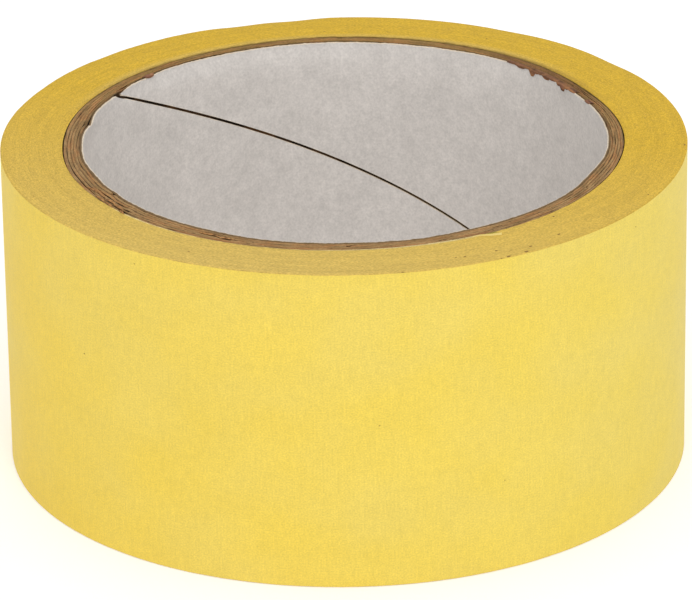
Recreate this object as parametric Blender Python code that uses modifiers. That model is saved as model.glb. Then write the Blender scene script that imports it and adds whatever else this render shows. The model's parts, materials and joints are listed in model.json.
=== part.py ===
"""A 48 mm wide roll of masking tape on a spiral-wound paperboard core, standing on one flat side.

Metres, +Z up. The origin is the centre of the bottom face, and the roll's axis is Z.
The core is a stack of paper plies. Each ply is one parallelogram of paper rolled into a tube,
so its two edges meet in a butt seam that climbs the wall as a helix.
The tape is its first turn on the core, the wound pack, its outermost turn, and the free end that
peels off that turn.
"""

from math import cos, radians, sin

import bmesh
import bpy

# Driving dimensions
ROLL_RADIUS = 0.050
TAPE_WIDTH = 0.048
TAPE_THICKNESS = 0.00013
BORE_RADIUS = 0.03835
LINER_THICKNESS = 0.00040
KRAFT_THICKNESS = 0.00039
KRAFT_PLY_COUNT = 5
GLUE_LINE = 0.00005  # between neighbouring plies, and between neighbouring layers of tape
CORE_RECESS = 0.0002  # the core stops this far inside each side face of the tape

# The butt seam of a ply: how far round it travels while it climbs the core, and how wide it is
SEAM_CLIMB_ANGLE = radians(150)
SEAM_GAP_HEIGHT = 0.0004
LINER_SEAM_ANGLE = radians(1.4)  # where the liner's seam starts, at the bottom
SEAM_STAGGER = radians(60)  # each ply's seam starts this far round from the last ply's

FIRST_CUT_ANGLE = radians(300)  # where the tape starts on the core

# The free end lies clockwise of its root, seen from above, and hinges about a vertical line there
PEEL_LINE_ANGLE = radians(150)
FREE_END_ANGLE = radians(40)
CUT_GAP = 0.0003  # between the ends of two stretches of tape that lie in one layer

FACETS = 120  # flats around a full turn, shared by every layer so that the flats stay parallel
FULL_TURN = radians(360)
FACET_ANGLE = FULL_TURN / FACETS
CLOSEST_COLUMNS = FACET_ANGLE / 10
MERGE_DISTANCE = 0.00001
SHARP_ANGLE = radians(30)

# Derived dimensions
CORE_HEIGHT = TAPE_WIDTH - 2 * CORE_RECESS
OUTER_TURN_RADIUS = ROLL_RADIUS - TAPE_THICKNESS
PACK_OUTER_RADIUS = OUTER_TURN_RADIUS - GLUE_LINE
CORE_OUTER_RADIUS = BORE_RADIUS + LINER_THICKNESS + KRAFT_PLY_COUNT * (GLUE_LINE + KRAFT_THICKNESS)
FIRST_TURN_RADIUS = CORE_OUTER_RADIUS + GLUE_LINE
PACK_INNER_RADIUS = FIRST_TURN_RADIUS + TAPE_THICKNESS + GLUE_LINE

# Colour, roughness and metallic value of each material
LINER_PAPER = ("liner_paper", (0.55, 0.51, 0.47), 0.85, 0.0)
KRAFT_BOARD = ("kraft_board", (0.29, 0.19, 0.10), 0.9, 0.0)
TAPE_EDGE = ("tape_edge", (0.65, 0.44, 0.08), 0.75, 0.0)
CREPE_PAPER = ("crepe_paper", (0.90, 0.68, 0.14), 0.7, 0.0)


def clear_scene():
    for obj in list(bpy.data.objects):
        bpy.data.objects.remove(obj, do_unlink=True)


def new_collection(name):
    collection = bpy.data.collections.new(name)
    bpy.context.scene.collection.children.link(collection)
    return collection


def material(name, colour, roughness, metallic):
    """The material of this name, made on first use."""
    found = bpy.data.materials.get(name)
    if found:
        return found
    made = bpy.data.materials.new(name)
    made.use_nodes = True
    shader = made.node_tree.nodes["Principled BSDF"]
    shader.inputs["Base Color"].default_value = (*colour, 1.0)
    shader.inputs["Roughness"].default_value = roughness
    shader.inputs["Metallic"].default_value = metallic
    return made


def add_piece(name, mesh_data, look, collection, parent=None):
    """Makes the mesh one object of the assembly, smooth round the roll and sharp at its edges."""
    mesh = bpy.data.meshes.new(name)
    mesh_data.to_mesh(mesh)
    mesh_data.free()
    mesh.shade_smooth()
    mesh.set_sharp_from_angle(angle=SHARP_ANGLE)
    mesh.materials.append(material(*look))
    obj = bpy.data.objects.new(name, mesh)
    obj.parent = parent
    collection.objects.link(obj)
    return obj


def strip_columns(start, end, breakpoints):
    """The angles at which a rolled strip has vertices: its ends, its breakpoints and every facet edge."""
    columns = sorted([start, end, *breakpoints])
    first_facet = int(start // FACET_ANGLE)
    last_facet = int(end // FACET_ANGLE) + 1
    for index in range(first_facet, last_facet + 1):
        angle = index * FACET_ANGLE
        inside = start < angle < end
        if inside and min(abs(angle - known) for known in columns) > CLOSEST_COLUMNS:
            columns.append(angle)
    return sorted(columns)


def rolled_strip(inner_radius, columns, lower_edge, upper_edge, centre=(0.0, 0.0)):
    """A one-row sheet bent round the axis. Its two edges are heights given as functions of the angle.

    Where the two edges meet at an end of the sheet, their points are merged into one corner.
    """
    sheet = bmesh.new()
    spans = len(columns) - 1
    half_size = 0.5
    bmesh.ops.create_grid(sheet, x_segments=spans, y_segments=1, size=half_size)
    for vertex in sheet.verts:
        angle = columns[round((vertex.co.x + half_size) * spans)]
        edge = upper_edge if vertex.co.y > 0 else lower_edge
        x = inner_radius * cos(angle) - centre[0]
        y = inner_radius * sin(angle) - centre[1]
        vertex.co = (x, y, edge(angle))
    bmesh.ops.remove_doubles(sheet, verts=sheet.verts, dist=MERGE_DISTANCE)
    return sheet


def thicken(obj, thickness):
    """Gives the sheet its thickness, outwards from the axis."""
    solidify = obj.modifiers.new("thickness", "SOLIDIFY")
    solidify.thickness = thickness
    solidify.offset = 1.0
    solidify.use_even_offset = True


def add_ply(name, inner_radius, thickness, seam_start, look, collection):
    """One core ply: a parallelogram of paper, rolled so that its slanted edges meet in a helical butt seam."""
    climb_rate = CORE_HEIGHT / SEAM_CLIMB_ANGLE
    gap_angle = SEAM_GAP_HEIGHT / climb_rate
    leading_full = seam_start + SEAM_CLIMB_ANGLE
    trailing_start = seam_start + FULL_TURN - gap_angle
    end = trailing_start + SEAM_CLIMB_ANGLE

    def upper_edge(angle):
        return CORE_RECESS + min(CORE_HEIGHT, climb_rate * (angle - seam_start))

    def lower_edge(angle):
        return CORE_RECESS + max(0.0, climb_rate * (angle - trailing_start))

    columns = strip_columns(seam_start, end, [leading_full, trailing_start])
    sheet = rolled_strip(inner_radius, columns, lower_edge, upper_edge)
    thicken(add_piece(name, sheet, look, collection), thickness)


def add_core(collection):
    """The pale liner in the bore, then the kraft plies outside it."""
    add_ply("core_liner", BORE_RADIUS, LINER_THICKNESS, LINER_SEAM_ANGLE, LINER_PAPER, collection)
    radius = BORE_RADIUS + LINER_THICKNESS + GLUE_LINE
    for number in range(1, KRAFT_PLY_COUNT + 1):
        seam_start = LINER_SEAM_ANGLE + number * SEAM_STAGGER
        add_ply(f"core_ply_{number}", radius, KRAFT_THICKNESS, seam_start, KRAFT_BOARD, collection)
        radius += KRAFT_THICKNESS + GLUE_LINE


def add_tape_pack(collection):
    """The wound turns, as one turned ring. The profile runs down its outer side."""
    profile = bmesh.new()
    corners = (
        (PACK_OUTER_RADIUS, TAPE_WIDTH),
        (PACK_OUTER_RADIUS, 0.0),
        (PACK_INNER_RADIUS, 0.0),
        (PACK_INNER_RADIUS, TAPE_WIDTH),
    )
    points = [profile.verts.new((radius, 0.0, height)) for radius, height in corners]
    for index, point in enumerate(points):
        profile.edges.new((point, points[(index + 1) % len(points)]))
    screw = add_piece("tape_pack", profile, TAPE_EDGE, collection).modifiers.new("turn", "SCREW")
    screw.steps = FACETS
    screw.render_steps = FACETS
    screw.use_merge_vertices = True
    screw.merge_threshold = MERGE_DISTANCE
    screw.use_smooth_shade = False


def add_tape_strip(name, inner_radius, start, end, collection, hinge=None):
    """A stretch of tape between two angles, cut short by half the gap at each end."""
    half_cut = CUT_GAP / ROLL_RADIUS / 2
    columns = strip_columns(start + half_cut, end - half_cut, [])
    centre = hinge.location.xy if hinge else (0.0, 0.0)
    sheet = rolled_strip(inner_radius, columns, lambda angle: 0.0, lambda angle: TAPE_WIDTH, centre)
    thicken(add_piece(name, sheet, CREPE_PAPER, collection, hinge), TAPE_THICKNESS)


def add_peel_hinge(collection):
    """The vertical line on the roll's surface about which the free end lifts away."""
    hinge = bpy.data.objects.new("peel_hinge", None)
    hinge.location = (ROLL_RADIUS * cos(PEEL_LINE_ANGLE), ROLL_RADIUS * sin(PEEL_LINE_ANGLE), 0.0)
    collection.objects.link(hinge)
    return hinge


def add_tape(collection):
    """The one strip of tape, from its start on the core out to its free end."""
    first_end = FIRST_CUT_ANGLE + FULL_TURN
    add_tape_strip("tape_first_turn", FIRST_TURN_RADIUS, FIRST_CUT_ANGLE, first_end, collection)
    add_tape_pack(collection)
    tip_angle = PEEL_LINE_ANGLE - FREE_END_ANGLE
    outer_end = tip_angle + FULL_TURN
    add_tape_strip("tape_outer_turn", OUTER_TURN_RADIUS, PEEL_LINE_ANGLE, outer_end, collection)
    hinge = add_peel_hinge(collection)
    add_tape_strip("tape_free_end", OUTER_TURN_RADIUS, tip_angle, PEEL_LINE_ANGLE, collection, hinge)


def main():
    clear_scene()
    roll = new_collection("masking_tape_roll")
    add_core(roll)
    add_tape(roll)


main()
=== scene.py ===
"""The looks of a roll of masking tape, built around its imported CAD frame. Metres, +Z up.

Angles are measured from +X, counter-clockwise seen from above. The tape is wound outwards clockwise,
so its free end points clockwise.
"""
import json
from functools import lru_cache
from math import atan2, cos, exp, hypot, pi, radians, sin

import bpy
from mathutils import Matrix, Vector, noise


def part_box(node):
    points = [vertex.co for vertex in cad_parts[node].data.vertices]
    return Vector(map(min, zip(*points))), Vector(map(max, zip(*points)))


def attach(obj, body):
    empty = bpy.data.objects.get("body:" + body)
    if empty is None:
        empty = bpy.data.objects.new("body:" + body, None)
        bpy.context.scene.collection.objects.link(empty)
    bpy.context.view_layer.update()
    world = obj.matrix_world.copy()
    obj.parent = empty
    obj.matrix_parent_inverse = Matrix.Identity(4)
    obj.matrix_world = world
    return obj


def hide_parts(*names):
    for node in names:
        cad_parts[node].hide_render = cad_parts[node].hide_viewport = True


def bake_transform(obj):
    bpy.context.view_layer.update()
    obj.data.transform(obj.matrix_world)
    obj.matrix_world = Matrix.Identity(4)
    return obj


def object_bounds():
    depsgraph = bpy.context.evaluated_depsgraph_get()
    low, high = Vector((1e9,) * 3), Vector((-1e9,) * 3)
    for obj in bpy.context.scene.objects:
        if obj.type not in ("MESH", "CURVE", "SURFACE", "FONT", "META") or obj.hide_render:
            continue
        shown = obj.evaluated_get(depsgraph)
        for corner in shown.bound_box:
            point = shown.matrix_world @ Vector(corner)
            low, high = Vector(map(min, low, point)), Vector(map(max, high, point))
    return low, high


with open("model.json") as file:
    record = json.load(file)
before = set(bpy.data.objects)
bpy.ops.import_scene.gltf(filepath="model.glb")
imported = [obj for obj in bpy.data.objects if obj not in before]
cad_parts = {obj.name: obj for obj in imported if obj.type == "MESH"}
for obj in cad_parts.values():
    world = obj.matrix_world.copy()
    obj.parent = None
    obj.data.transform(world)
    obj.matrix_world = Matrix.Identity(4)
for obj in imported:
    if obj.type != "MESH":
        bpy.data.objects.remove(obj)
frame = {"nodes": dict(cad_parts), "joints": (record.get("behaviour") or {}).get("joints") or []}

CAD_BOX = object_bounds()
MM = 0.001
FULL_TURN = 2 * pi

# Places read from the frame
ROLL_LOW, ROLL_HIGH = CAD_BOX
ROLL_RADIUS = (ROLL_HIGH.x - ROLL_LOW.x) / 2
TAPE_WIDTH = ROLL_HIGH.z - ROLL_LOW.z
PEEL_JOINT = frame["joints"][0]
PEEL_ANGLE = atan2(PEEL_JOINT["pos_m"][1], PEEL_JOINT["pos_m"][0])


def ring_radii(node):
    """The inner and outer radius of a CAD node that is a ring about Z."""
    spans = [hypot(vertex.co.x, vertex.co.y) for vertex in frame["nodes"][node].data.vertices]
    return min(spans), max(spans)


def free_end_angle():
    """How far round the roll the free end reaches from its root."""
    angles = [atan2(v.co.y, v.co.x) for v in frame["nodes"]["tape_free_end"].data.vertices]
    return PEEL_ANGLE - min(angles)


PLY_NODES = [name for name in sorted(frame["nodes"]) if name.startswith("core_ply")]
OUTER_TURN_INNER, OUTER_TURN_OUTER = ring_radii("tape_outer_turn")
FIRST_TURN_INNER, FIRST_TURN_OUTER = ring_radii("tape_first_turn")
TAPE_THICKNESS = OUTER_TURN_OUTER - OUTER_TURN_INNER
LINER_INNER, LINER_OUTER = ring_radii("core_liner")
FIRST_PLY_INNER = ring_radii(PLY_NODES[0])[0]
PLY_PITCH = ring_radii(PLY_NODES[1])[0] - FIRST_PLY_INNER
GLUE_LINE = FIRST_PLY_INNER - LINER_OUTER
CORE_LOW, CORE_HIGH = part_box("core_liner")
CORE_BOTTOM, CORE_TOP = CORE_LOW.z, CORE_HIGH.z

# The core's plies, as the CAD winds them
SEAM_CLIMB_ANGLE = radians(150)
SEAM_GAP_HEIGHT = 0.4 * MM
LINER_SEAM_ANGLE = radians(1.4)
SEAM_STAGGER = radians(60)
CLIMB_RATE = (CORE_TOP - CORE_BOTTOM) / SEAM_CLIMB_ANGLE

BURR_DIRECTION = (cos(radians(38)), sin(radians(38)))  # where the core's cut rim is torn and dark
SHARP_ANGLE = radians(40)


# ---------------------------------------------------------------- node materials

class Look:
    """A Principled material, with one short method for each kind of node its pattern uses.

    Patterns are laid out by one of two mesh attributes, in metres. PAPER_PLACE is how far along the
    paper, across it and through it a point lies. ROUND_PLACE is its x, y and distance from the axis.
    """

    PAPER_PLACE = "paper_place"
    ROUND_PLACE = "round_place"

    def __init__(self, name, roughness, specular=0.5, place=PAPER_PLACE):
        self.material = bpy.data.materials.new(name)
        self.material.use_nodes = True
        self.nodes = self.material.node_tree.nodes
        self.links = self.material.node_tree.links
        self.shader = self.nodes["Principled BSDF"]
        self.shader.inputs["Roughness"].default_value = roughness
        self.shader.inputs["Specular IOR Level"].default_value = specular
        self.place = self.attribute(place)

    def attribute(self, name):
        return self.add("ShaderNodeAttribute", {}, attribute_name=name).outputs["Vector"]

    def add(self, kind, inputs, **settings):
        """A node with these settings. An input is a value or another node's output."""
        node = self.nodes.new(kind)
        for setting, value in settings.items():
            setattr(node, setting, value)
        for socket, value in inputs.items():
            if isinstance(value, bpy.types.NodeSocket):
                self.links.new(value, node.inputs[socket])
            else:
                node.inputs[socket].default_value = value
        return node

    def part(self, index):
        """One coordinate of the place."""
        return self.add("ShaderNodeSeparateXYZ", {0: self.place}).outputs[index]

    def math(self, operation, first, second=0.0):
        return self.add("ShaderNodeMath", {0: first, 1: second}, operation=operation).outputs[0]

    def stretched(self, size):
        """The place, divided by a feature size along, across and through the paper."""
        shares = tuple(1 / length for length in size)
        node = self.add("ShaderNodeVectorMath", {0: self.place, 1: shares}, operation="MULTIPLY")
        return node.outputs[0]

    def grain(self, size, detail=2.0, seed=0.0):
        """Noise from 0 to 1 whose blots have this size along, across and through the paper."""
        inputs = {0: self.stretched(size), 1: (seed, seed, seed)}
        shifted = self.add("ShaderNodeVectorMath", inputs).outputs[0]
        node = self.add("ShaderNodeTexNoise", {"Vector": shifted, "Scale": 1.0, "Detail": detail})
        return node.outputs["Fac"]

    def ramp(self, value, low, high, out_low, out_high):
        """The value, spread from low..high to out_low..out_high and clamped."""
        inputs = {"Value": value, "From Min": low, "From Max": high}
        inputs.update({"To Min": out_low, "To Max": out_high})
        return self.add("ShaderNodeMapRange", inputs).outputs["Result"]

    def side(self, direction):
        """From 0 to 1 across the roll, growing in this direction of x and y."""
        inputs = {0: self.attribute(self.ROUND_PLACE), 1: (*direction, 0)}
        node = self.add("ShaderNodeVectorMath", inputs, operation="DOT_PRODUCT")
        return self.ramp(node.outputs["Value"], -ROLL_RADIUS, ROLL_RADIUS, 0.0, 1.0)

    def near(self, spot, full, none):
        """1 within one distance of a spot and 0 beyond another. The spot is its x, y and radius."""
        inputs = {0: self.attribute(self.ROUND_PLACE), 1: spot}
        node = self.add("ShaderNodeVectorMath", inputs, operation="DISTANCE")
        return self.ramp(node.outputs["Value"], full, none, 1.0, 0.0)

    def shade(self, value, amount):
        """A factor near 1 that follows noise, darker and lighter by about this amount."""
        return self.ramp(value, 0.25, 0.75, 1 - amount, 1 + amount)

    def product(self, factors):
        total = factors[0]
        for factor in factors[1:]:
            total = self.math("MULTIPLY", total, factor)
        return total

    def mix(self, share, first, second):
        """Two colours mixed. Each is a socket or an RGB tuple."""
        colours = [c if isinstance(c, bpy.types.NodeSocket) else (*c, 1.0) for c in (first, second)]
        inputs = {0: share, 6: colours[0], 7: colours[1]}
        return self.add("ShaderNodeMix", inputs, data_type="RGBA").outputs[2]

    def scale(self, colour, factor):
        """A colour made lighter or darker by a factor."""
        colour = colour if isinstance(colour, bpy.types.NodeSocket) else tuple(colour)
        node = self.add("ShaderNodeVectorMath", {0: colour, "Scale": factor}, operation="SCALE")
        return node.outputs[0]

    def finish(self, colour, roughness=None, height=None, relief=0.0):
        """Connects the pattern to the shader. The height bump stands out by the relief, in metres."""
        self.links.new(colour, self.shader.inputs["Base Color"])
        if roughness:
            self.links.new(roughness, self.shader.inputs["Roughness"])
        if height:
            bump = self.add("ShaderNodeBump", {"Height": height, "Distance": relief, "Strength": 1.0})
            self.links.new(bump.outputs[0], self.shader.inputs["Normal"])
        return self.material


def crepe_paper():
    """The outer face of the tape: smooth yellow crepe paper with fine fibres and faint cross wrinkles."""
    look = Look("crepe_paper", roughness=0.62)
    clouds = look.grain((9 * MM, 7 * MM, 9 * MM))
    mottle = look.grain((1.4 * MM, 1.1 * MM, 1 * MM), seed=3.0)
    fibres = look.grain((0.26 * MM, 0.22 * MM, 1 * MM), detail=3.0, seed=7.0)
    wrinkles = look.grain((0.30 * MM, 3.5 * MM, 1 * MM), seed=11.0)
    parts = [
        look.shade(clouds, 0.02),
        look.shade(mottle, 0.035),
        look.shade(fibres, 0.14),
        look.shade(wrinkles, 0.04),
    ]
    tint = look.ramp(look.grain((15 * MM, 13 * MM, 15 * MM), seed=15.0), 0.35, 0.65, 0.0, 1.0)
    # Paler and less yellow towards the right: a painted reflection of light from the right.
    left = look.mix(tint, (0.745, 0.538, 0.059), (0.735, 0.548, 0.083))
    right = look.mix(tint, (0.728, 0.561, 0.080), (0.718, 0.566, 0.105))
    colour = look.scale(look.mix(look.side((1, 0)), left, right), look.product(parts))
    height = look.math("ADD", fibres, look.math("MULTIPLY", wrinkles, 0.8))
    return look.finish(colour, look.ramp(fibres, 0.3, 0.7, 0.55, 0.72), height, 0.012 * MM)


def tape_edge():
    """The slit side of the wound tape: every turn's edge, with dye, adhesive and dust between them.

    The turns next to the core are brown at the back with core glue and painted shade along the recessed
    core, a clean cream at the front left, and painted olive where the folded start of the tape leans away
    from the core, a painted shadow behind it. The side is painted paler towards the front, a painted
    sheen.
    """
    look = Look("tape_edge", 0.8, 0.12, Look.ROUND_PLACE)
    turns = look.grain((14 * MM, 14 * MM, 0.13 * MM), detail=1.0)
    bands = look.grain((30 * MM, 30 * MM, 0.7 * MM), seed=5.0)
    mottle = look.grain((1.9 * MM, 1.9 * MM, 1.3 * MM), seed=9.0)
    grain = look.grain((0.35 * MM, 0.35 * MM, 0.25 * MM), detail=3.0, seed=13.0)
    flecks = look.grain((0.55 * MM, 0.55 * MM, 0.4 * MM), detail=1.0, seed=31.0)
    parts = [
        look.shade(turns, 0.07),
        look.shade(bands, 0.04),
        look.shade(mottle, 0.055),
        look.shade(grain, 0.25),
    ]
    # Paler and less saturated towards the front: a painted sheen.
    front = look.ramp(look.side((-0.3, -0.95)), 0.4, 1.0, 0.0, 1.0)
    front_sheen_colour = look.mix(front, (0.635, 0.408, 0.041), (0.638, 0.451, 0.115))
    from_core = look.math("SUBTRACT", look.part(2), FIRST_TURN_INNER)
    ragged = look.math("ADD", from_core, look.ramp(mottle, 0.3, 0.7, -0.15 * MM, 0.15 * MM))
    # Darker olive-brown next to the core at the back: core glue and painted shade along the recessed
    # core.
    core_glue_and_shade = look.ramp(ragged, 0.05 * MM, 0.75 * MM, 0.85, 0.0)
    at_back = look.ramp(look.side((0.0, 1.0)), 0.62, 0.85, 0.0, 1.0)
    far_back = look.ramp(look.side((-0.15, 0.99)), 0.66, 0.80, 0.0, 1.0)
    dusty = look.math("MULTIPLY", look.ramp(from_core, 0.7 * MM, 1.9 * MM, 1.0, 0.0), far_back)
    paler = look.mix(dusty, front_sheen_colour, (0.630, 0.430, 0.090))
    stained = look.mix(look.math("MULTIPLY", core_glue_and_shade, at_back), paler, (0.27, 0.170, 0.045))
    unsoaked = look.ramp(from_core, 0.25 * MM, 0.45 * MM, 0.9, 0.0)
    at_front = look.ramp(look.side((-0.21, -0.98)), 0.80, 0.84, 0.0, 1.0)
    clean = look.mix(look.math("MULTIPLY", unsoaked, at_front), stained, (0.86, 0.73, 0.36))
    # A painted olive shadow on the slit side, behind the leaf of the tape's folded start.
    leaf_shadowed = look.mix(look.near(LEAF_SHADOW_SPOT, 0.5 * MM, 1.3 * MM), clean, (0.28, 0.235, 0.030))
    dotted = look.mix(look.ramp(flecks, 0.68, 0.76, 0.0, 0.6), leaf_shadowed, (0.42, 0.25, 0.045))
    colour = look.scale(dotted, look.product(parts))
    return look.finish(colour, look.ramp(mottle, 0.3, 0.7, 0.72, 0.88), grain, 0.01 * MM)


def adhesive_side():
    """The sticky side of the tape: crepe paper under a thin, slightly glossy coat of rubber glue."""
    look = Look("adhesive_side", roughness=0.38)
    coat = look.grain((2.5 * MM, 1.6 * MM, 1 * MM), seed=21.0)
    wrinkles = look.grain((0.30 * MM, 3.5 * MM, 1 * MM), seed=11.0)
    parts = [look.shade(coat, 0.05), look.shade(wrinkles, 0.05)]
    colour = look.scale((0.80, 0.60, 0.14), look.product(parts))
    return look.finish(colour, look.ramp(coat, 0.3, 0.7, 0.3, 0.5), wrinkles, 0.012 * MM)


def first_turn_back():
    """The faces of the tape's first turn: olive-brown with the core's glue and painted shade, clean at
    the folded start.
    """
    look = Look("first_turn_back", roughness=0.8, specular=0.2)
    blots = look.grain((2.5 * MM, 1.2 * MM, 1 * MM), detail=3.0, seed=41.0)
    # Olive-brown: core glue and painted shade for the recess above the core, where this face shows.
    stained = look.mix(look.ramp(blots, 0.35, 0.65, 0.0, 1.0), (0.24, 0.15, 0.040), (0.36, 0.25, 0.075))
    start = TAPE_START * ROLL_RADIUS
    clean = look.ramp(look.part(0), start - 5 * MM, start - 4 * MM, 0.0, 1.0)
    colour = look.scale(look.mix(clean, stained, (0.86, 0.74, 0.30)), look.shade(blots, 0.08))
    return look.finish(colour, None, blots, 0.01 * MM)


def kraft_board(name, dull, bright, ageing):
    """Brown board between two colours: streaks and short fibres, with rusty and glue-dark patches.

    A dark line of glue runs along each face of a ply. Near the bore, except at the front, the board is
    darker:
    painted shade between the kraft and the liner. The back of the core is aged to olive, by the share
    that ageing gives.
    """
    look = Look(name, roughness=0.85, specular=0.25)
    from_face = look.math("SUBTRACT", look.part(2), FIRST_PLY_INNER - GLUE_LINE / 2)
    into_ply = look.math("PINGPONG", from_face, PLY_PITCH / 2)
    clean_stretch = look.ramp(look.grain((5 * MM, 5 * MM, 0.4 * MM), seed=27.0), 0.40, 0.60, 0.0, 0.92)
    glue_line = look.math("MAXIMUM", look.ramp(into_ply, 0.03 * MM, 0.09 * MM, 0.60, 1.0), clean_stretch)
    # Darker near the bore except at the front: painted shade between the kraft and the liner.
    bore_shade = look.ramp(from_face, 0.15 * MM, 0.45 * MM, 0.62, 1.0)
    aged = look.ramp(look.side((0.1, 0.99)), 0.50, 0.75, 0.0, 1.0)
    front = look.ramp(look.side((0, -1)), 0.35, 0.60, 0.0, 1.0)
    streaks = look.grain((7 * MM, 0.6 * MM, 0.13 * MM), detail=3.0)
    patches = look.grain((4 * MM, 3 * MM, 0.9 * MM), seed=4.0)
    fibres = look.grain((0.5 * MM, 0.25 * MM, 0.2 * MM), detail=3.0, seed=8.0)
    rust = look.ramp(look.grain((5 * MM, 4 * MM, 0.6 * MM), seed=12.0), 0.45, 0.66, 0.0, 0.8)
    burnt_side = look.ramp(look.side(BURR_DIRECTION), 0.872, 0.894, 0.0, 0.75)
    burnt = look.math("MULTIPLY", burnt_side, look.ramp(patches, 0.3, 0.55, 0.45, 1.0))
    glue = look.ramp(look.grain((5 * MM, 2 * MM, 0.22 * MM), detail=3.0, seed=19.0), 0.5, 0.68, 0.0, 0.6)
    base = look.mix(look.ramp(patches, 0.35, 0.65, 0.0, 1.0), dull, bright)
    olive = look.mix(look.math("MULTIPLY", aged, ageing), base, (0.255, 0.155, 0.042))
    rusty = look.mix(rust, olive, (0.41, 0.190, 0.066))
    stained = look.mix(glue, look.mix(burnt, rusty, (0.185, 0.088, 0.030)), (0.13, 0.065, 0.022))
    parts = [
        look.shade(streaks, 0.27),
        look.shade(fibres, 0.24),
        glue_line,
        look.math("MAXIMUM", bore_shade, front),
    ]
    colour = look.scale(stained, look.product(parts))
    height = look.math("ADD", streaks, fibres)
    return look.finish(colour, None, height, 0.03 * MM)


def liner_paper():
    """The grey-white recycled liner of the bore, cloudy and faintly fibrous.

    Along its two edges at the seam it has a painted cream highlight. climb is how high the seam has come
    at a point.
    """
    look = Look("liner_paper", roughness=0.75, specular=0.3)
    climb = look.math("MULTIPLY", look.part(0), CLIMB_RATE / ROLL_RADIUS)
    above_bottom = look.math("SUBTRACT", look.part(1), CORE_BOTTOM)
    below_climb = look.math("SUBTRACT", climb, above_bottom)
    below_upper_edge = look.math("SUBTRACT", below_climb, CLIMB_RATE * LINER_SEAM_ANGLE)
    one_turn_up = CLIMB_RATE * (FULL_TURN + LINER_SEAM_ANGLE) - SEAM_GAP_HEIGHT
    above_lower_edge = look.math("ADD", look.math("SUBTRACT", above_bottom, climb), one_turn_up)
    from_seam = look.math("MINIMUM", below_upper_edge, above_lower_edge)
    clouds = look.grain((6 * MM, 5 * MM, 1 * MM))
    mottle = look.grain((1.3 * MM, 1.1 * MM, 1 * MM), seed=2.0)
    fibres = look.grain((0.4 * MM, 0.35 * MM, 1 * MM), detail=3.0, seed=6.0)
    parts = [look.shade(clouds, 0.05), look.shade(mottle, 0.065), look.shade(fibres, 0.11)]
    # A painted cream highlight of ragged width along both edges of the seam.
    seam_highlight_width = look.ramp(mottle, 0.3, 0.7, 0.05 * MM, 0.16 * MM)
    seam_highlight = look.ramp(look.math("SUBTRACT", from_seam, seam_highlight_width), -0.05 * MM, 0.0, 0.7, 0.0)
    surface = look.mix(seam_highlight, (0.640, 0.602, 0.567), (0.84, 0.71, 0.55))
    colour = look.scale(surface, look.product(parts))
    return look.finish(colour, look.ramp(mottle, 0.3, 0.7, 0.68, 0.82), fibres, 0.01 * MM)


def liner_cut_edge():
    """The cut edge of the liner: clean pulp on a thin back of brown board, thinner at the top rim."""
    look = Look("liner_cut_edge", roughness=0.85, specular=0.2)
    fibres = look.grain((0.5 * MM, 0.3 * MM, 0.2 * MM), detail=3.0)
    ragged = look.math("MULTIPLY", look.grain((0.9 * MM, 0.9 * MM, 1 * MM), seed=17.0), 0.12 * MM)
    depth = look.math("SUBTRACT", look.math("ADD", look.part(2), ragged), LINER_INNER)
    pulp = look.ramp(look.part(1), CORE_TOP - 1.5 * MM, CORE_TOP - 0.4 * MM, 0.17 * MM, 0.20 * MM)
    back = look.ramp(look.math("SUBTRACT", depth, pulp), 0.0, 0.06 * MM, 0.0, 1.0)
    colour = look.scale(look.mix(back, (0.71, 0.61, 0.48), (0.19, 0.12, 0.055)), look.shade(fibres, 0.15))
    return look.finish(colour, None, fibres, 0.02 * MM)


def dust():
    """Brown dust and fibres."""
    look = Look("dust", roughness=0.9, specular=0.2)
    grain = look.grain((0.15 * MM, 0.15 * MM, 0.15 * MM))
    return look.finish(look.scale((0.27, 0.16, 0.045), look.shade(grain, 0.3)), None, grain, 0.01 * MM)


def pale_floor():
    """The studio's plain pale table, lit a little from below."""
    look = Look("pale_floor", roughness=0.9, specular=0.1)
    look.shader.inputs["Emission Color"].default_value = (1.0, 1.0, 1.0, 1.0)
    look.shader.inputs["Emission Strength"].default_value = 0.2
    return look.finish(look.scale((0.93, 0.93, 0.93), look.shade(look.grain((0.4, 0.4, 0.4)), 0.004)))


# ---------------------------------------------------------------- mesh building

def make_piece(name, points, places, faces, materials, face_slots=None):
    """One mesh object. places gives each point's place along, across and through the paper."""
    mesh = bpy.data.meshes.new(name)
    mesh.from_pydata(points, [], faces)
    rounds = [(x, y, hypot(x, y)) for x, y, _ in points]
    for attribute_name, vectors in ((Look.PAPER_PLACE, places), (Look.ROUND_PLACE, rounds)):
        attribute = mesh.attributes.new(attribute_name, "FLOAT_VECTOR", "POINT")
        attribute.data.foreach_set("vector", [value for vector in vectors for value in vector])
    for material in materials:
        mesh.materials.append(material)
    if face_slots:
        mesh.polygons.foreach_set("material_index", face_slots)
    mesh.shade_smooth()
    mesh.set_sharp_from_angle(angle=SHARP_ANGLE)
    obj = bpy.data.objects.new(name, mesh)
    bpy.context.scene.collection.objects.link(obj)
    return obj


def wobble(angle, height, radius, size, seed=0.0):
    """Smooth noise from about -1 to 1 on the roll, the same after a full turn, in blots of this size."""
    x = radius * cos(angle) / size
    y = radius * sin(angle) / size
    return noise.noise(Vector((x + seed, y - seed, height / size + seed)))


def spread(low, high, count):
    """Evenly spaced values from low to high, both included."""
    return [low + (high - low) * index / (count - 1) for index in range(count)]


def bell(angle, centre, half_width):
    """1 at the centre angle, falling off smoothly over the half width. All three are in radians."""
    away = (angle - centre + pi) % FULL_TURN - pi
    return exp(-((away / half_width) ** 2))


def total_bell(angle, spots):
    """The sum of (centre, half width, amount) spots, in degrees, at an angle in radians."""
    return sum(amount * bell(angle, radians(centre), radians(width)) for centre, width, amount in spots)


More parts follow.
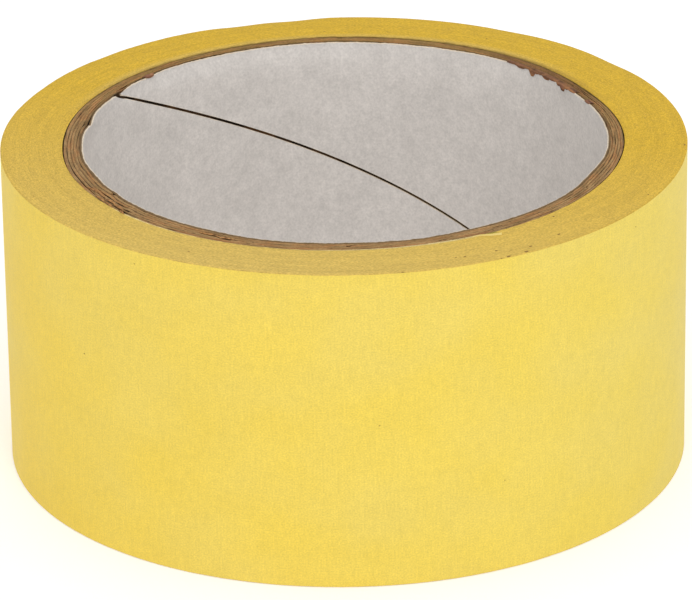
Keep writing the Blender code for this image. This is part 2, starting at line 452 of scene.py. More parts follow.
def wrapped_solid(name, columns, heights, radii, through, shape, materials, side_slots=(0, 0, 0)):
    """A sheet of paper with thickness, wrapped about Z.

    columns are increasing angles and heights(angle) the rows of one column, bottom to top. radii are
    those of the sheet's two faces, and only lay out its pattern. through are shares of the thickness,
    from 0 at the inner face to 1 at the outer. shape(angle, share, height, edge) gives a point's angle,
    radius and height, where edge is -1 on the bottom edge, 1 on the top edge and 0 elsewhere.
    side_slots are the material slots of the inner face, the outer face and the cut edges.
    """
    inner_slot, outer_slot, cut_slot = side_slots
    row_count = len(heights(columns[0]))
    inside = through[1:-1]
    loop = [(0.0, row) for row in range(row_count)]
    loop += [(share, row_count - 1) for share in inside]
    loop += [(1.0, row) for row in reversed(range(row_count))]
    loop += [(share, 0) for share in reversed(inside)]
    points, places = [], []
    for angle in columns:
        rows = heights(angle)
        for share, row in loop:
            edge = 1 if row == row_count - 1 else -1 if row == 0 else 0
            turned, radius, height = shape(angle, share, rows[row], edge)
            points.append((radius * cos(turned), radius * sin(turned), height))
            places.append((angle * ROLL_RADIUS, height, radii[0] + share * (radii[1] - radii[0])))
    faces, slots = [], []
    size = len(loop)
    faced = row_count - 1
    cut = len(through) - 1
    for column in range(len(columns) - 1):
        here, there = column * size, (column + 1) * size
        for step in range(size):
            after = (step + 1) % size
            faces.append((here + step, here + after, there + after, there + step))
            if step < faced:
                slots.append(inner_slot)
            elif faced + cut <= step < 2 * faced + cut:
                slots.append(outer_slot)
            else:
                slots.append(cut_slot)
    for start, forward in ((0, False), ((len(columns) - 1) * size, True)):
        for row in range(faced):
            quad = [start + row, start + row + 1]
            if row == faced - 1:
                quad += [start + row_count + index for index in range(len(inside))]
            outer = start + 2 * row_count + len(inside) - 1 - row
            quad += [outer - 1, outer]
            if row == 0:
                quad += [start + 2 * row_count + len(inside) + index for index in range(len(inside))]
            faces.append(quad if forward else quad[::-1])
            slots.append(cut_slot)
    return make_piece(name, points, places, faces, materials, slots)


def rows_between(low, high, edge_steps, middle_count):
    """Heights from low to high, crowded near both edges by the steps, which shrink on a short column."""
    shrink = min(1.0, (high - low) / (4 * edge_steps[-1]))
    steps = [step * shrink for step in edge_steps]
    middle = spread(low + steps[-1], high - steps[-1], middle_count + 2)[1:-1]
    return [low + step for step in steps] + middle + [high - step for step in reversed(steps)]


# ---------------------------------------------------------------- the core

KRAFT_SEAM_GAP = 0.1 * MM  # as tight as the rim shows the brown plies' seams
RIM_DEPTH = 1.6 * MM  # how far down the bore the rim's dents and swellings reach
PLY_COLUMN_STEP = radians(0.35)
SHORTEST_COLUMN = 0.3 * MM
PLY_ROW_STEPS = (0.0, 0.12 * MM, 0.45 * MM, 1.1 * MM, 2.5 * MM)
PLY_MIDDLE_ROWS = 5
PLY_SHARES = (0.0, 0.25, 0.5, 0.75, 1.0)
LINER_RELIEF = 0.12 * MM  # how rough a ply's cut edge is
KRAFT_RELIEF = 0.11 * MM
WALL_WAVE = 0.03 * MM  # how far a ply's wall wanders in and out
LIP_WAVE = 0.05 * MM  # how far its upper lip does
BOTTOM_MIRROR = 1.7  # the bottom rim at an angle has the top rim's spots at this less the angle

# Spots of the rim, each (centre, half width) in degrees and an amount in metres
RIM_CRUSH = (
    (112, 26, 0.55 * MM),
    (80, 24, 0.2 * MM),
    (128, 18, 0.45 * MM),
    (138, 11, 0.38 * MM),
    (50, 18, 0.4 * MM),
    (22, 14, 0.45 * MM),
    (5, 50, 0.35 * MM),
    (284, 7, 0.3 * MM),
    (218, 20, -0.35 * MM),
    (236, 11, -0.28 * MM),
    (200, 8, -0.25 * MM),
    (196, 24, -0.15 * MM),
    (168, 5, -0.3 * MM),
    (138, 3, -0.3 * MM),
    (338, 8, -0.4 * MM),
)
# Where neighbouring plies part at the rim: (ply inside the gap, spots)
RIM_SPLITS = (
    (0, ((168, 3.5, 0.16 * MM), (110, 30, 0.08 * MM), (141, 8, 0.08 * MM), (250, 45, 0.05 * MM))),
    (1, ((242, 6, 0.10 * MM), (150, 5, 0.08 * MM))),
    (2, ((211.5, 2, 0.22 * MM),)),
    (3, ((24, 6, 0.14 * MM), (208.5, 2.5, 0.18 * MM), (216, 3, 0.08 * MM))),
    (4, ((201, 7, 0.13 * MM), (219.5, 2, 0.12 * MM))),
    (5, ((182, 11, 0.12 * MM),)),
)
# How far out the whole rim and the first turns of tape stand, in the same form as RIM_CRUSH
CORE_PRESS = (
    (94, 15, 0.38 * MM),
    (250, 24, 0.30 * MM),
    (178, 14, -0.17 * MM),
    (350, 42, -0.35 * MM),
    (26, 18, -0.75 * MM),
)
RIM_RISE = 0.18 * MM
# Where plies are chipped or torn away at the rim: (first ply, last ply, spots)
RIM_CHIPS = (
    (0, 0, ((149, 2.2, 0.30 * MM), (168.5, 1.0, 0.3 * MM), (122, 14, 0.06 * MM), (92, 12, 0.03 * MM))),
    (1, 1, ((146, 2.0, 0.20 * MM), (169, 0.8, 0.2 * MM))),
    (3, 3, ((209, 1.6, 0.12 * MM), (216.5, 2.2, 0.12 * MM), (245, 2.5, 0.12 * MM))),
    (4, 5, ((212.5, 2.2, 0.12 * MM), (219.5, 1.4, 0.20 * MM), (26, 3, 0.12 * MM))),
)
PLY_COUNT = len(PLY_NODES) + 1
RIM_SWELLING = 0.022 * MM  # how far a ply's cut rim swells into the glue lines beside it
OUTER_RIM_PRESS = 0.06 * MM  # how far the outermost ply's rim is pressed into the tape


@lru_cache(maxsize=None)
def rim_level(ply, angle):
    """How far the rim of a ply stands above the core's true height, where positive is proud."""
    level = RIM_RISE * (1 - 0.6 * ply / PLY_COUNT)
    for first, last, spots in RIM_CHIPS:
        if first <= ply <= last:
            level -= total_bell(angle, spots)
    return level


@lru_cache(maxsize=None)
def rim_shift(ply, through, angle):
    """How far outwards the rim of a ply stands from its true place. Ply 0 is the liner."""
    depth_share = 1 - (ply + through) / PLY_COUNT
    shift = total_bell(angle, RIM_CRUSH) * depth_share
    shift += total_bell(angle, CORE_PRESS)
    for inside_ply, spots in RIM_SPLITS:
        if ply <= inside_ply:
            shift -= total_bell(angle, spots)
    return shift


def core_ply(name, node, ply, materials, side_slots, relief):
    """One ply of the core: a parallelogram of paper, rolled until its slanted edges meet in a seam."""
    inner, outer = ring_radii(node)
    seam_start = LINER_SEAM_ANGLE + ply * SEAM_STAGGER
    gap = SEAM_GAP_HEIGHT if ply == 0 else KRAFT_SEAM_GAP
    trailing_start = seam_start + FULL_TURN - gap / CLIMB_RATE
    inset = SHORTEST_COLUMN / CLIMB_RATE
    first, last = seam_start + inset, trailing_start + SEAM_CLIMB_ANGLE - inset
    columns = spread(first, last, round((last - first) / PLY_COLUMN_STEP))

    def heights(angle):
        low = CORE_BOTTOM + max(0.0, CLIMB_RATE * (angle - trailing_start))
        high = min(CORE_TOP, CORE_BOTTOM + CLIMB_RATE * (angle - seam_start))
        return rows_between(low, high, PLY_ROW_STEPS, PLY_MIDDLE_ROWS)

    def shape(angle, share, height, edge):
        radius = inner + (outer - inner) * share
        top_depth = (CORE_TOP - height) / RIM_DEPTH
        bottom_depth = (height - CORE_BOTTOM) / RIM_DEPTH
        radius += rim_shift(ply, share, angle) * exp(-top_depth**2)
        radius += rim_shift(ply, share, BOTTOM_MIRROR - angle) * exp(-bottom_depth**2)
        swelling = RIM_SWELLING * (1 + 0.9 * wobble(angle, height, radius, 3 * MM, seed=11.0 + ply))
        on_rim = exp(-min(top_depth, bottom_depth) ** 2)
        radius += (2 * share - 1) * swelling * on_rim
        if ply == PLY_COUNT - 1:
            radius += share * OUTER_RIM_PRESS * on_rim
        radius += WALL_WAVE * wobble(angle, height, radius, 9 * MM, seed=ply)
        lip = wobble(angle, 0, radius, 2.5 * MM, seed=23.0 + ply)
        radius += LIP_WAVE * lip * exp(-(2 * top_depth) ** 2)
        if edge:
            fibre = wobble(angle, share * 0.3 * MM, radius, 0.35 * MM, seed=7.3 * ply + 31 * edge)
            tear = wobble(angle, share * 0.3 * MM, radius, 1.3 * MM, seed=5.1 * ply + 17 * edge)
            height += edge * on_rim * rim_level(ply, angle if edge > 0 else BOTTOM_MIRROR - angle)
            bevel = 0.0 if ply == PLY_COUNT - 1 and share > 0.5 else 0.9 * (2 * share - 1) ** 4
            rough = 0.5 - 0.5 * fibre - 0.4 * tear + bevel
            height -= edge * relief * rough * (0.2 + 0.8 * on_rim)
            radius += 0.4 * relief * fibre * (0.5 - share)
        return angle, radius, height

    radii = (inner, outer)
    piece = wrapped_solid(name, columns, heights, radii, PLY_SHARES, shape, materials, side_slots)
    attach(piece, "roll")
    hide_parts(node)
    return piece


def build_core():
    board = kraft_board("kraft_board", (0.28, 0.168, 0.064), (0.38, 0.235, 0.098), 0.75)
    # The plies' faces are near black: glue, and painted shade for the seam's groove and the gaps between
    # plies.
    glue_and_shade_face = kraft_board("glue_and_shade_board", (0.030, 0.016, 0.005), (0.055, 0.030, 0.010), 0.0)
    liner_faces = [liner_paper(), liner_cut_edge(), glue_and_shade_face]
    liner = core_ply("liner", "core_liner", 0, liner_faces, (0, 2, 1), LINER_RELIEF)
    for number, node in enumerate(PLY_NODES, start=1):
        kraft_faces = [board, glue_and_shade_face]
        ply = core_ply(f"kraft_ply_{number}", node, number, kraft_faces, (1, 1, 0), KRAFT_RELIEF)


# ---------------------------------------------------------------- the tape

# The tape is laid out by its wound angle, which grows from the free end's tip inwards to the core
WOUND_TURNS = int((ROLL_RADIUS - FIRST_TURN_INNER) / TAPE_THICKNESS)
TURN_PITCH = (ROLL_RADIUS - FIRST_TURN_INNER) / WOUND_TURNS
TIP_ANGLE = PEEL_ANGLE - free_end_angle()
TURN_BREAK = PEEL_ANGLE + FULL_TURN + radians(8)  # the outer turn passes under its own far end
PACK_TURNS = WOUND_TURNS - 4
PACK_END = TURN_BREAK + PACK_TURNS * FULL_TURN
FIRST_CUT_ANGLE = radians(300.8)
TAPE_START = PACK_END + FULL_TURN + (FIRST_CUT_ANGLE - PACK_END) % FULL_TURN
PACK_COLUMNS = 300
TAPE_LOW, TAPE_HIGH = 0.0, TAPE_WIDTH
EDGE_STEPS = (0.0, 0.1 * MM, 0.35 * MM, 1.0 * MM, 3.0 * MM)
LEAF_LENGTH = 3.0 * MM  # the corner of the tape's start that has come away from the core
LEAF_LEAN = 1.5 * MM
LEAF_RISE = 0.30 * MM
# Where the painted shadow behind the leaf lies on the slit side
LEAF_SHADOW_RADIUS = FIRST_TURN_OUTER + 0.2 * MM
LEAF_SHADOW_ANGLE = FIRST_CUT_ANGLE - radians(1.4)
LEAF_SHADOW_SPOT = (LEAF_SHADOW_RADIUS * cos(LEAF_SHADOW_ANGLE), LEAF_SHADOW_RADIUS * sin(LEAF_SHADOW_ANGLE), LEAF_SHADOW_RADIUS)


def wound_radius(wound):
    """The radius of the tape's outer face at a wound angle."""
    return ROLL_RADIUS - TURN_PITCH * (wound - TIP_ANGLE) / FULL_TURN


# Dents in the back of the top edge, in the same form as RIM_CRUSH
BACK_DENT = (
    (36, 6, 0.26 * MM),
    (60, 5, 0.12 * MM),
    (99, 4.5, 0.36 * MM),
    (108, 5.5, 0.36 * MM),
    (136, 3, 0.08 * MM),
    (157, 8, 0.12 * MM),
)
DENT_REACH = 2.2 * MM
SHOULDER_WIDTH = 0.5 * MM  # the last turns at the outer edge are rounded off
SHOULDER_DROP = 0.07 * MM
SIDE_WAVE = 0.02 * MM  # how far the slit side as a whole wanders up and down
BAND_WIDTH = 0.55 * MM  # bands of turns lie a little deeper than others
BAND_DEPTH = 0.012 * MM
GROOVE_DEPTH = 0.012 * MM  # the groove between two turns
TURN_UNEVENNESS = 0.008 * MM
LOOSE_LENGTH = 2.5 * MM  # how much of the free end's tip stands off the roll
TEAR_DEPTH = 0.5 * MM  # how far in the tip is torn on average
TEAR_LENGTH = 1.2 * MM


def pressed(angle, radius):
    """A radius on the tape's side, moved as the core presses on its innermost turns."""
    inside = (ROLL_RADIUS - radius) / (ROLL_RADIUS - FIRST_TURN_INNER)
    return radius + total_bell(angle, CORE_PRESS) * inside**3


def side_drop(angle, radius, side):
    """How far the tape's edge lies inside its true height. side is 1 at the top and -1 at the bottom."""
    shoulder = max(0.0, 1 - (ROLL_RADIUS - radius) / SHOULDER_WIDTH)
    drop = SHOULDER_DROP * shoulder**2
    drop += SIDE_WAVE * (1 + wobble(angle, side * TAPE_WIDTH, radius, 11 * MM, seed=3.0))
    band = noise.noise(Vector((1.5 * cos(angle), 1.5 * sin(angle), radius / BAND_WIDTH + 40 * side)))
    drop += BAND_DEPTH * (1 + band)
    if side > 0:
        reach = max(0.0, 1 - (ROLL_RADIUS - radius) / DENT_REACH)
        drop += total_bell(angle, BACK_DENT) * reach**1.5
    return drop


def build_pack(edge_material):
    """The wound body of the roll: a spiral whose sides show each turn as a crown between two grooves."""
    last_row = 2 * PACK_TURNS
    first_column_rows = last_row + 3
    points, places = [], []

    def add_column(angle, rows):
        for row in range(rows):
            wound = angle + row * pi
            radius = wound_radius(angle) - row * TURN_PITCH / 2
            groove = 0.5 if row % 2 else 1.0
            for side, level in ((1, TAPE_HIGH), (-1, TAPE_LOW)):
                uneven = noise.noise(Vector((wound * 3, row // 2 + 0.5, 9.0 * side)))
                drop = side_drop(angle, radius, side)
                drop = drop + GROOVE_DEPTH * groove + TURN_UNEVENNESS * (1 + uneven)
                shown = pressed(angle, radius)
                points.append((shown * cos(angle), shown * sin(angle), level - side * drop))
                places.append((angle * ROLL_RADIUS, level, radius))

    for column in range(PACK_COLUMNS):
        angle = TURN_BREAK + FULL_TURN * column / PACK_COLUMNS
        add_column(angle, first_column_rows if column == 0 else last_row + 1)

    def point(column, row, below):
        """The index of a point. The column after the last is the first again, one turn further in."""
        if column == PACK_COLUMNS:
            column, row = 0, row + 2
        before = 0 if column == 0 else first_column_rows + (column - 1) * (last_row + 1)
        return 2 * (before + row) + below

    faces = []
    for column in range(PACK_COLUMNS):
        for row in range(last_row):
            corners = ((column, row), (column + 1, row), (column + 1, row + 1), (column, row + 1))
            faces.append([point(*corner, 0) for corner in corners])
            faces.append([point(*corner, 1) for corner in reversed(corners)])
        for row, outward in ((0, True), (last_row, False)):
            corners = ((column, 1), (column + 1, 1), (column + 1, 0), (column, 0))
            wall = [point(place, row, below) for place, below in corners]
            faces.append(wall if outward else wall[::-1])
    for rows in ((0, 1), (1, 2), (last_row, last_row + 1), (last_row + 1, last_row + 2)):
        step = [point(0, rows[0], 0), point(0, rows[1], 0), point(0, rows[1], 1), point(0, rows[0], 1)]
        faces.append(step if rows[0] < 2 else step[::-1])
    pack = make_piece("tape_wound_body", points, places, faces, [edge_material])
    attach(pack, "roll")
    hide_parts("tape_pack")


def tape_strip(name, outer_end, inner_end, materials, side_rows=7, column_step=radians(0.6), lift=None):
    """A length of tape as a thin solid between two wound angles.

    lift(wound, height) gives how far a point is turned back (radians), and moved outwards and upwards.
    """
    columns = spread(outer_end, inner_end, round((inner_end - outer_end) / column_step) + 1)
    gap = TURN_PITCH - TAPE_THICKNESS

    def heights(wound):
        return rows_between(TAPE_LOW, TAPE_HIGH, EDGE_STEPS, side_rows)

    def shape(wound, share, height, edge):
        radius = wound_radius(wound) - gap / 2 - (1 - share) * TAPE_THICKNESS
        side = 1 if height > TAPE_WIDTH / 2 else -1
        near_edge = max(0.0, 1 - min(height, TAPE_WIDTH - height) / EDGE_STEPS[-1])
        level = height - side * near_edge * side_drop(wound, radius, side)
        if edge:
            level -= edge * 0.02 * MM * (1 + wobble(wound, height, radius, 0.8 * MM, seed=2.0 + share))
            level -= edge * 0.03 * MM * (1 + wobble(wound, height, radius, 3 * MM, seed=5.0))
        radius = pressed(wound, radius)
        back, outwards, upwards = lift(wound, height) if lift else (0.0, 0.0, 0.0)
        return wound + back, radius + outwards, level + upwards

    outer = wound_radius(outer_end)
    radii = (outer - TAPE_THICKNESS, outer)
    return wrapped_solid(name, columns, heights, radii, (0.0, 0.5, 1.0), shape, materials, (2, 0, 1))


def curled_tip(wound, height):
    """The free end's last few millimetres: a hand-torn edge whose upper corner has come loose."""
    from_tip = (wound - TIP_ANGLE) * ROLL_RADIUS
    torn = noise.noise(Vector((height / (1.7 * MM), 0.0, 4.0))) * 0.35 * MM
    torn += noise.noise(Vector((height / (0.5 * MM), 0.0, 8.0))) * 0.2 * MM
    loose = exp(-((from_tip / LOOSE_LENGTH) ** 2))
    corner = max(0.0, height / TAPE_WIDTH - 0.6) / 0.4
    back = (TEAR_DEPTH + torn) / ROLL_RADIUS * exp(-((from_tip / TEAR_LENGTH) ** 2))
    return back, loose * (0.05 + 0.1 * corner**2) * MM, 0.0


def folded_start(wound, height):
    """The tape's first end, at the core. Its upper corner leans away from the core as a small leaf."""
    from_start = (TAPE_START - wound) * FIRST_TURN_OUTER
    below_top = TAPE_HIGH - height
    leaf = max(0.0, 1 - from_start / LEAF_LENGTH) ** 0.7
    outwards = LEAF_LEAN * leaf * min(1.0, max(0.0, 1.6 - below_top / (0.6 * MM)))
    upwards = LEAF_RISE * leaf**0.4 * exp(-((below_top / (0.08 * MM)) ** 2))
    proud = 0.05 * MM * exp(-from_start / (40 * MM)) * max(0.0, 1 - below_top / (0.4 * MM))
    return 0.0, outwards, upwards + proud


def build_tape():
    edge = tape_edge()
    build_pack(edge)
    faces = [crepe_paper(), edge, adhesive_side()]
    outer_turn = tape_strip("tape_top_layer", PEEL_ANGLE, TURN_BREAK, faces)
    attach(outer_turn, "roll")
    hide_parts("tape_outer_turn")
    free_end = tape_strip("tape_loose_end", TIP_ANGLE, PEEL_ANGLE, faces, 70, radians(0.4), curled_tip)
    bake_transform(free_end)
    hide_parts("tape_free_end")
    back = first_turn_back()
    first_faces = [back, edge, back]
    first_turn = tape_strip("tape_first_layers", PACK_END, TAPE_START, first_faces, lift=folded_start)
    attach(first_turn, "roll")
    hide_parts("tape_first_turn")


# ---------------------------------------------------------------- torn fibres and dust

def ridge_basis(angle):
    """The directions along the paper, outwards and upwards at an angle of the roll."""
    return Vector((-sin(angle), cos(angle), 0)), Vector((cos(angle), sin(angle), 0)), Vector((0, 0, 1))


def hanging_width(share):
    """The width of a hanging flake at a share of its length: full over the rim, then to a blunt tip."""
    return min(1.0, 1.5 * (1 - share) + 0.35)


def fibre_width(share):
    """The width of a loose fibre at a share of its length: thick in the middle."""
    return 0.15 + 0.85 * sin(pi * share)


def shred(name, root, line, width, width_share, across, thickness, material, seed):
    """A torn flake of paper with ragged sides.

    root is (angle, radius, height), line the flake's middle line from there and across its width's
    direction, both as steps along the paper, outwards and upwards. width_share(share) shapes the width.
    """
    angle, radius, height = root
    basis = ridge_basis(angle)

    def local(steps):
        return sum((axis * step for axis, step in zip(basis, steps)), Vector())

    start = Vector((radius * cos(angle), radius * sin(angle), height))
    middle = [start + local(step) for step in line]
    sideways = local(across)
    shares = (-1.0, -0.5, 0.0, 0.5, 1.0)
    points, places = [], []
    for index, centre in enumerate(middle):
        after = middle[min(index + 1, len(middle) - 1)]
        before = middle[max(index - 1, 0)]
        through = (after - before).cross(sideways).normalized()
        taper = width_share(index / (len(middle) - 1))
        for share in shares:
            ragged = noise.noise(Vector((seed, 1.7 * index, 3.1 * share)))
            offset = sideways * (width / 2 * taper * (share + 0.35 * ragged))
            depth = thickness * (1 - 0.5 * abs(share)) * (1 - 0.4 * index / len(middle))
            for side in (1, -1):
                point = centre + offset + through * (depth * side / 2 + 0.3 * thickness * ragged)
                points.append(tuple(point))
                along_paper = angle * ROLL_RADIUS + width * share
                places.append((along_paper, seed * MM, radius + thickness * index))
    count = len(shares)

    def at(index, share, side):
        return 2 * (index * count + share) + side

    faces = []
    last = len(middle) - 1
    for index in range(last):
        for share in range(count - 1):
            corners = ((index, share), (index + 1, share), (index + 1, share + 1), (index, share + 1))
            faces.append([at(*corner, 0) for corner in corners])
            faces.append([at(*corner, 1) for corner in reversed(corners)])
        for share, turned in ((0, False), (count - 1, True)):
            corners = ((index, 0), (index, 1), (index + 1, 1), (index + 1, 0))
            rim = [at(place, share, side) for place, side in corners]
            faces.append(rim[::-1] if turned else rim)
    for index, turned in ((0, True), (last, False)):
        for share in range(count - 1):
            corners = ((share, 0), (share, 1), (share + 1, 1), (share + 1, 0))
            rim = [at(index, place, side) for place, side in corners]
            faces.append(rim[::-1] if turned else rim)
    flake = make_piece(name, points, places, faces, [material])
    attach(flake, "roll")


# Teeth that hang over the liner: (angle in degrees, width, hanging length)
HANGING_SHREDS = (
    (19.8, 1.6 * MM, 0.12 * MM),
    (27.5, 2.2 * MM, 0.18 * MM),
    (29.7, 1.6 * MM, 0.30 * MM),
    (31.2, 1.9 * MM, 0.90 * MM),
    (32.9, 1.3 * MM, 0.45 * MM),
    (35.4, 2.2 * MM, 0.20 * MM),
    (37.6, 2.4 * MM, 0.48 * MM),
    (40.0, 1.8 * MM, 0.20 * MM),
    (42.5, 1.5 * MM, 0.90 * MM),
    (41.3, 1.6 * MM, 0.32 * MM),
    (44.3, 1.8 * MM, 0.12 * MM),
    (46.2, 2.6 * MM, 0.36 * MM),
    (49.0, 2.1 * MM, 0.10 * MM),
    (138.0, 1.8 * MM, 0.22 * MM),
)
TOOTH_ROOT_REACH = 0.85 * MM  # how far a tooth's root lies outside the liner's face, on top of the rim
TOOTH_CLEARANCE = 0.09 * MM  # from the liner's face to the middle of a tooth
TOOTH_THICKNESS = 0.13 * MM
# Fibres torn out along the rim: (angle in degrees, radius, length, width, drift outwards, arch above it)
TORN_FIBRES = (
    (206.5, 40.15 * MM, 2.6 * MM, 0.30 * MM, -0.45 * MM, 0.08 * MM),
    (211.5, 40.75 * MM, 3.0 * MM, 0.35 * MM, 0.15 * MM, 0.12 * MM),
    (214.0, 40.20 * MM, 2.6 * MM, 0.45 * MM, -0.20 * MM, 0.22 * MM),
    (215.5, 40.95 * MM, 2.4 * MM, 0.30 * MM, 0.35 * MM, 0.16 * MM),
    (217.5, 40.45 * MM, 2.8 * MM, 0.50 * MM, 0.20 * MM, 0.20 * MM),
    (220.0, 41.20 * MM, 1.8 * MM, 0.35 * MM, 0.40 * MM, 0.14 * MM),
    (241.5, 39.75 * MM, 3.4 * MM, 0.35 * MM, 0.10 * MM, 0.07 * MM),
    (245.5, 40.05 * MM, 2.2 * MM, 0.40 * MM, -0.12 * MM, 0.10 * MM),
)
FIBRE_THICKNESS = 0.14 * MM
FIBRE_ROOT = CORE_TOP + 0.12 * MM
FIBRE_STEPS = 9


def tooth_line(angle, length):
    """The root of a hanging tooth, and its middle line from there over the rim and down the liner."""
    rim_height = CORE_TOP + RIM_RISE
    root_radius = LINER_INNER + rim_shift(0, 0, angle) + TOOTH_ROOT_REACH

    def beside_liner(depth):
        bulge = rim_shift(0, 0, angle) * exp(-((depth / RIM_DEPTH) ** 2))
        return LINER_INNER + bulge - TOOTH_CLEARANCE - root_radius

    line = [(0, 0, -0.1 * MM), (0, -0.3 * MM, 0.03 * MM), (0, -0.6 * MM, 0.03 * MM)]
    line += [(0, beside_liner(depth), -depth) for depth in (0.05 * MM, 0.55 * length, length)]
    return (angle, root_radius, rim_height), line


def build_shreds():
    burr_board = kraft_board("burr_board", (0.150, 0.066, 0.036), (0.290, 0.125, 0.075), 0.0)
    for number, (degrees, width, length) in enumerate(HANGING_SHREDS, start=1):
        root, line = tooth_line(radians(degrees), length)
        name = f"paper_burr_{number}"
        thickness, seed = TOOTH_THICKNESS, 3.7 * number
        shred(name, root, line, width, hanging_width, (1, 0, 0), thickness, burr_board, seed)
    torn_board = kraft_board("torn_board", (0.42, 0.20, 0.066), (0.52, 0.28, 0.105), 0.0)
    for number, (degrees, radius, length, width, drift, arch) in enumerate(TORN_FIBRES, start=1):
        root = (radians(degrees), radius, FIBRE_ROOT)
        shares = spread(0, 1, FIBRE_STEPS)
        line = [(length * (s - 0.5), drift * (s - 0.5), arch * sin(pi * s)) for s in shares]
        name = f"torn_fibre_{number}"
        thickness, seed = FIBRE_THICKNESS, 5.1 * number
        shred(name, root, line, width, fibre_width, (0, 1, 0), thickness, torn_board, seed)


# Specks of dust and fibre on the slit side, as (angle in degrees, radius, length)
SIDE_SPECKS = (
    (242, 46.4 * MM, 0.35 * MM),
    (279, 49.8 * MM, 0.40 * MM),
    (288.9, 47.0 * MM, 0.30 * MM),
    (290.4, 47.2 * MM, 0.42 * MM),
    (295.6, 49.8 * MM, 0.30 * MM),
    (296.3, 47.1 * MM, 0.45 * MM),
    (297.0, 49.7 * MM, 0.60 * MM),
    (300.4, 49.5 * MM, 0.65 * MM),
    (302.1, 48.3 * MM, 0.50 * MM),
    (309.0, 47.3 * MM, 0.45 * MM),
    (314, 42.2 * MM, 0.40 * MM),
    (332, 48.7 * MM, 0.35 * MM),
    (355, 49.5 * MM, 0.40 * MM),
    (61, 45.2 * MM, 0.30 * MM),
    (133, 44.1 * MM, 0.25 * MM),
)
# Specks on the outer face, as (angle in degrees, height, length)
FACE_SPECKS = (
    (222, 29.3 * MM, 0.30 * MM),
    (234, 46.0 * MM, 0.25 * MM),
    (325, 45.5 * MM, 0.25 * MM),
    (275, 25.0 * MM, 0.22 * MM),
    (296, 14.0 * MM, 0.22 * MM),
    (20, 31.0 * MM, 0.25 * MM),
    (77, 12.0 * MM, 0.25 * MM),
    (140, 38.0 * MM, 0.22 * MM),
)
# A speck's other half sizes, as shares of its length
SPECK_HALF_WIDTH = 0.28
SPECK_HALF_HEIGHT = 0.12
KNOBBLINESS = 0.3


def lump(centre, axes, sides=10, rings=5):
    """The points and faces of a closed, slightly knobbly lump with these half axes."""
    points = [tuple(centre + axes[2])]
    for ring in range(1, rings):
        tilt = pi * ring / rings
        for side in range(sides):
            turn = FULL_TURN * side / sides
            place = Vector((centre.x / MM + cos(turn), centre.y / MM + sin(turn), tilt))
            knob = 1 + KNOBBLINESS * noise.noise(place)
            around = axes[0] * cos(turn) * sin(tilt) + axes[1] * sin(turn) * sin(tilt)
            spot = around + axes[2] * cos(tilt)
            points.append(tuple(centre + spot * knob))
    points.append(tuple(centre - axes[2]))
    faces = []
    for side in range(sides):
        after = (side + 1) % sides
        faces.append((0, 1 + side, 1 + after))
        for ring in range(rings - 2):
            here, there = 1 + ring * sides, 1 + (ring + 1) * sides
            faces.append((here + side, there + side, there + after, here + after))
        bottom = 1 + (rings - 2) * sides
        faces.append((len(points) - 1, bottom + after, bottom + side))
    return points, faces


def build_specks():
    points, faces = [], []
    spots = []
    for degrees, radius, length in SIDE_SPECKS:
        along, outwards, upwards = ridge_basis(radians(degrees))
        drop = side_drop(radians(degrees), radius, 1)
        spots.append((outwards * radius + upwards * (TAPE_HIGH - drop), along, outwards, upwards, length))
    for degrees, height, length in FACE_SPECKS:
        along, outwards, upwards = ridge_basis(radians(degrees))
        spots.append((outwards * ROLL_RADIUS + upwards * height, along, upwards, outwards * -1, length))
    for centre, along, sideways, proud, length in spots:
        axes = (
            along * length / 2,
            sideways * length * SPECK_HALF_WIDTH,
            proud * length * SPECK_HALF_HEIGHT,
        )
        lump_points, lump_faces = lump(centre, axes)
        faces += [[len(points) + index for index in face] for face in lump_faces]
        points += lump_points
    specks = make_piece("dust_specks", points, points, faces, [dust()])
    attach(specks, "roll")


# ---------------------------------------------------------------- the studio

CAMERA_LENS_MM = 292.3
CAMERA_SENSOR_MM = 36.0
CAMERA_TARGET = Vector((-0.05 * MM, 0.0, 22.32 * MM))
CAMERA_DISTANCE = 0.8276
CAMERA_ELEVATION = radians(23.67)
CAMERA_ROLL = radians(0.85)


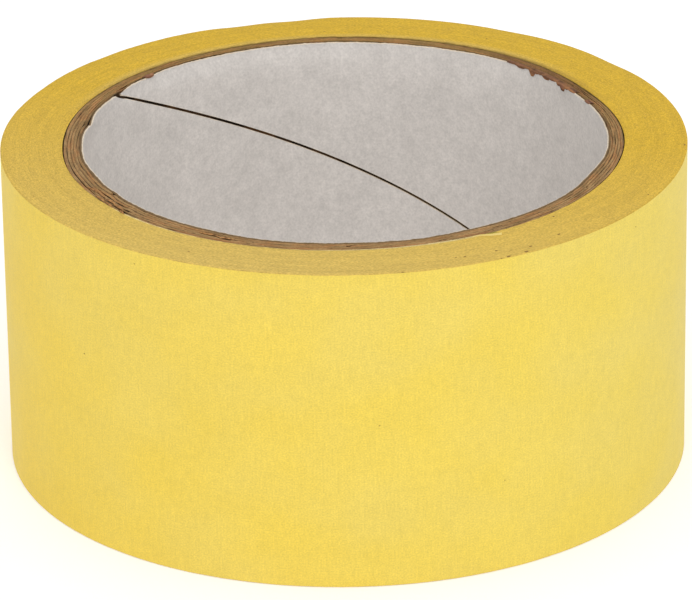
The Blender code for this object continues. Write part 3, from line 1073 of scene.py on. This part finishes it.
def build_camera():
    """The camera looks along +Y and down, leaning a little to one side, as the photographer held it."""
    back = Vector((0, -cos(CAMERA_ELEVATION), sin(CAMERA_ELEVATION)))
    level = Vector((1, 0, 0))
    steep = back.cross(level)
    right = cos(CAMERA_ROLL) * level - sin(CAMERA_ROLL) * steep
    up = sin(CAMERA_ROLL) * level + cos(CAMERA_ROLL) * steep
    data = bpy.data.cameras.new("camera")
    data.lens = CAMERA_LENS_MM
    data.sensor_width = CAMERA_SENSOR_MM
    camera = bpy.data.objects.new("camera", data)
    turn = Matrix((right, up, back)).transposed().to_4x4()
    camera.matrix_world = Matrix.Translation(CAMERA_TARGET + CAMERA_DISTANCE * back) @ turn
    bpy.context.scene.collection.objects.link(camera)
    bpy.context.scene.camera = camera


def build_soft_light(name, place, size, power):
    """A large square lamp at a place, turned to the roll."""
    data = bpy.data.lights.new(name, "AREA")
    data.size = size
    data.energy = power
    lamp = bpy.data.objects.new(name, data)
    lamp.location = place
    lamp.rotation_euler = (CAMERA_TARGET - Vector(place)).to_track_quat("-Z", "Y").to_euler()
    bpy.context.scene.collection.objects.link(lamp)


WORLD_STRENGTH = 0.87
FRONT_POWER = 10.5
FRONT_LIGHT_PLACE = (0.2, -1.4, 1.3)
FRONT_LIGHT_SIZE = 1.2
FLOOR_SIZE = 6.0


def build_studio():
    world = bpy.data.worlds.new("studio")
    world.use_nodes = True
    world.node_tree.nodes["Background"].inputs["Color"].default_value = (1.0, 1.0, 1.0, 1.0)
    world.node_tree.nodes["Background"].inputs["Strength"].default_value = WORLD_STRENGTH
    bpy.context.scene.world = world
    bpy.context.scene.view_settings.view_transform = "Standard"
    build_soft_light("front_light", FRONT_LIGHT_PLACE, FRONT_LIGHT_SIZE, FRONT_POWER)
    corner = FLOOR_SIZE / 2
    corners = [(-corner, -corner, 0), (corner, -corner, 0), (corner, corner, 0), (-corner, corner, 0)]
    floor = make_piece("floor", corners, corners, [(0, 1, 2, 3)], [pale_floor()])


build_core()
build_tape()
build_shreds()
build_specks()
build_camera()
build_studio()
